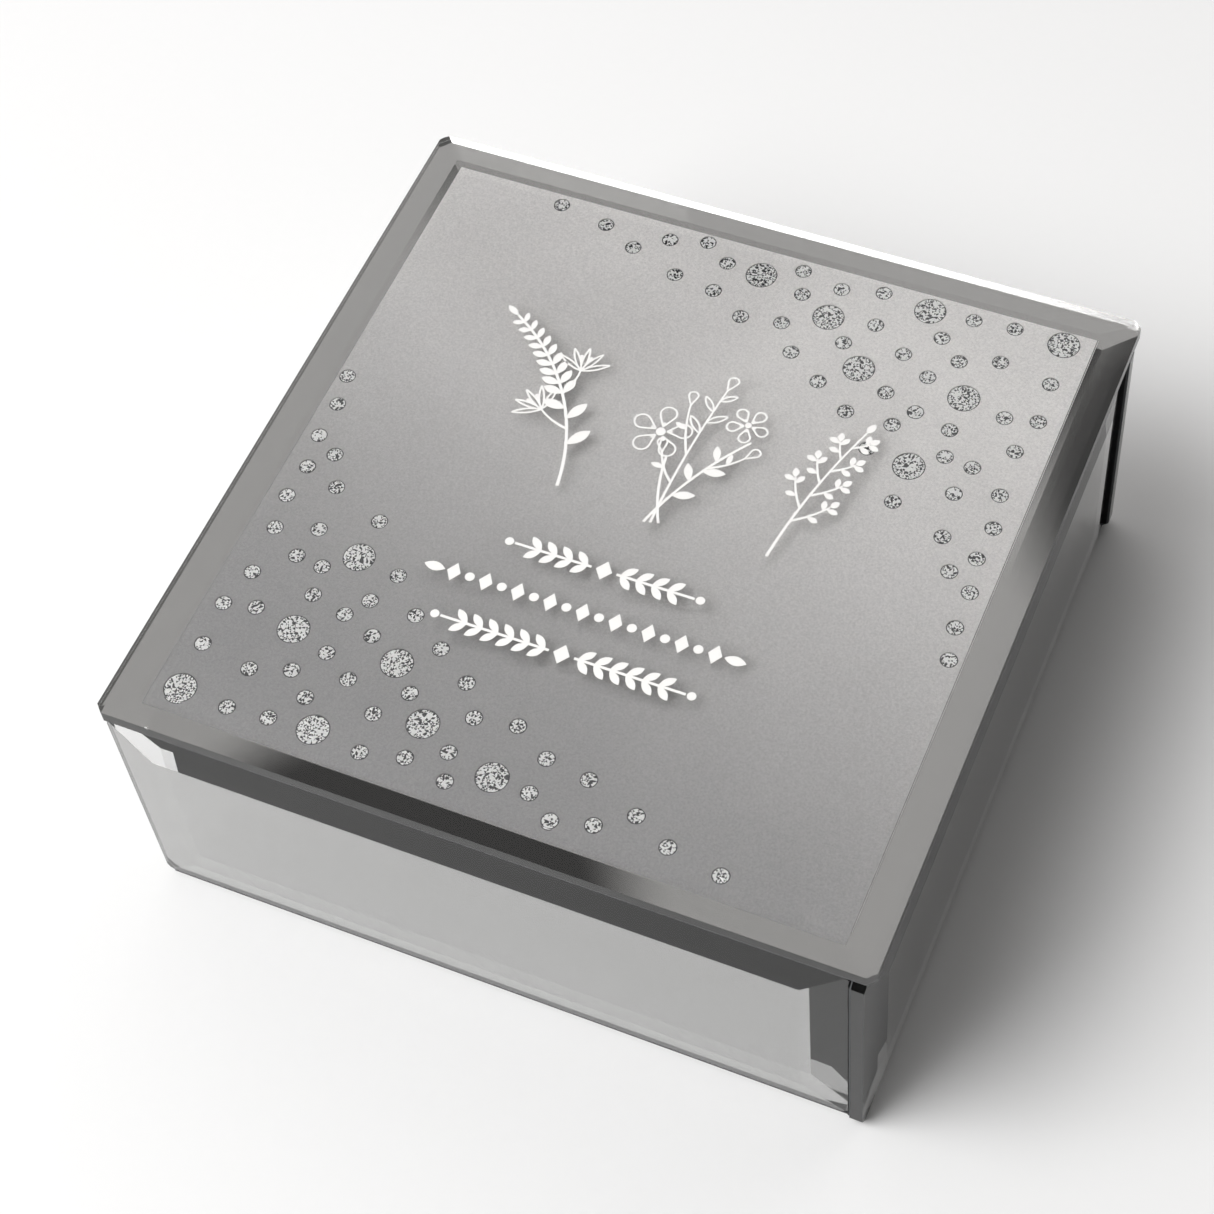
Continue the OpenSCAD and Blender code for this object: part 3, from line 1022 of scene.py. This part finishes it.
def studio_world(studio):
    """Walls that are bright behind the box and dim to its right, with a soft dark flag at the back."""
    world = bpy.data.worlds.new("studio")
    bpy.context.scene.world = world
    world.use_nodes = True
    tree = world.node_tree
    tree.nodes.clear()

    def add(kind, **settings):
        node = tree.nodes.new(kind)
        for key, value in settings.items():
            setattr(node, key, value)
        return node

    def ramp(value, low, high, to_low, to_high):
        node = add("ShaderNodeMapRange", interpolation_type="SMOOTHSTEP")
        tree.links.new(value, node.inputs["Value"])
        for key, number in zip(("From Min", "From Max", "To Min", "To Max"), (low, high, to_low, to_high)):
            node.inputs[key].default_value = number
        return node.outputs["Result"]

    def product(a, b):
        node = add("ShaderNodeMath", operation="MULTIPLY")
        tree.links.new(a, node.inputs[0])
        tree.links.new(b, node.inputs[1])
        return node.outputs["Value"]

    look = add("ShaderNodeTexCoord").outputs["Generated"]

    def against(direction, operation):
        node = add("ShaderNodeVectorMath", operation=operation)
        tree.links.new(look, node.inputs[0])
        node.inputs[1].default_value = direction
        return node

    towards = against(BRIGHT_SIDE, "DOT_PRODUCT").outputs["Value"]
    wall = ramp(towards, *BRIGHT_SIDE_RAMP, studio.sky_dark, studio.sky_light)
    away = against(sky_direction(FLAG_AZIMUTH, FLAG_ELEVATION), "SUBTRACT").outputs["Vector"]
    reach = add("ShaderNodeVectorMath", operation="LENGTH")
    tree.links.new(away, reach.inputs[0])
    flag = ramp(reach.outputs["Value"], *FLAG_RAMP, FLAG_SHARE, 1)
    height = against(UP, "DOT_PRODUCT").outputs["Value"]
    low_glow = ramp(height, *LOW_GLOW_RAMP, LOW_GLOW, 1)
    background = add("ShaderNodeBackground")
    background.inputs["Color"].default_value = (*studio.sky_colour, 1)
    tree.links.new(product(product(wall, flag), low_glow), background.inputs["Strength"])
    output = add("ShaderNodeOutputWorld")
    tree.links.new(background.outputs["Background"], output.inputs["Surface"])


def sky_direction(azimuth, elevation):
    """The unit vector at that many degrees right of +Y and above the horizon."""
    a, e = math.radians(azimuth), math.radians(elevation)
    return (math.sin(a) * math.cos(e), math.cos(a) * math.cos(e), math.sin(e))


class TRINKET_OT_stage(PieceOperator, bpy.types.Operator):
    """Set up the floor, the lights and the camera"""

    bl_idname = "trinket.stage"
    bl_label = "Stage"

    def execute(self, context):
        studio = context.scene.trinket_studio
        self.add_floor(studio)
        studio_world(studio)
        add_key_light(studio)
        self.add_camera(context, studio)
        return {"FINISHED"}

    def add_floor(self, studio):
        recipe = Recipe("studio_floor")
        paper = recipe.noise(2 * MM, 4, 0.6)
        recipe.set(
            Base_Color=recipe.mix(paper, shade(studio.floor, 0.985), studio.floor),
            Roughness=0.9,
            Specular_IOR_Level=0.1,
        )
        bm = bmesh.new()
        bmesh.ops.create_grid(bm, x_segments=8, y_segments=8, size=FLOOR_HALF)
        mesh = bpy.data.meshes.new("studio_floor")
        bm.to_mesh(mesh)
        bm.free()
        mesh.materials.append(recipe.material)
        floor = bpy.data.objects.new("studio_floor", mesh)
        bpy.context.scene.collection.objects.link(floor)

    def add_camera(self, context, studio):
        data = bpy.data.cameras.new("camera")
        data.lens = studio.lens
        data.sensor_width = 36
        data.clip_start = 0.01
        camera = bpy.data.objects.new("camera", data)
        context.scene.collection.objects.link(camera)
        eye, target = Vector(studio.eye), Vector(studio.target)
        level = (target - eye).to_track_quat("-Z", "Y").to_matrix().to_4x4()
        camera.matrix_world = Matrix.Translation(eye) @ level @ Matrix.Rotation(-studio.roll, 4, "Z")
        context.scene.camera = camera
        context.scene.view_settings.view_transform = "Standard"


PIECE_OPERATORS = (
    TRINKET_OT_glass_panes,
    TRINKET_OT_silvering,
    TRINKET_OT_satin_field,
    TRINKET_OT_glitter_dots,
    TRINKET_OT_botanical_print,
    TRINKET_OT_velvet_lining,
    TRINKET_OT_hinges,
    TRINKET_OT_base,
    TRINKET_OT_stage,
)


class TRINKET_PT_sidebar(bpy.types.Panel):
    """Buttons for every group of pieces, with their sizes and colours"""

    bl_idname = "TRINKET_PT_sidebar"
    bl_label = "Trinket Box"
    bl_space_type = "VIEW_3D"
    bl_region_type = "UI"
    bl_category = "Trinket Box"

    def draw(self, context):
        for operator in PIECE_OPERATORS:
            self.layout.operator(operator.bl_idname)
        scene = context.scene
        for group in (scene.trinket_finish, scene.trinket_sizes, scene.trinket_studio):
            box = self.layout.box()
            for key in group.__annotations__:
                box.prop(group, key)


CLASSES = (TrinketFinish, TrinketSizes, TrinketStudio, *PIECE_OPERATORS, TRINKET_PT_sidebar)


def register():
    for cls in CLASSES:
        bpy.utils.register_class(cls)
    bpy.types.Scene.trinket_finish = PointerProperty(type=TrinketFinish)
    bpy.types.Scene.trinket_sizes = PointerProperty(type=TrinketSizes)
    bpy.types.Scene.trinket_studio = PointerProperty(type=TrinketStudio)


def unregister():
    del bpy.types.Scene.trinket_studio
    del bpy.types.Scene.trinket_sizes
    del bpy.types.Scene.trinket_finish
    for cls in reversed(CLASSES):
        bpy.utils.unregister_class(cls)


def main():
    register()
    for operator in PIECE_OPERATORS:
        group, name = operator.bl_idname.split(".")
        getattr(getattr(bpy.ops, group), name)()


if __name__ == "__main__":
    main()
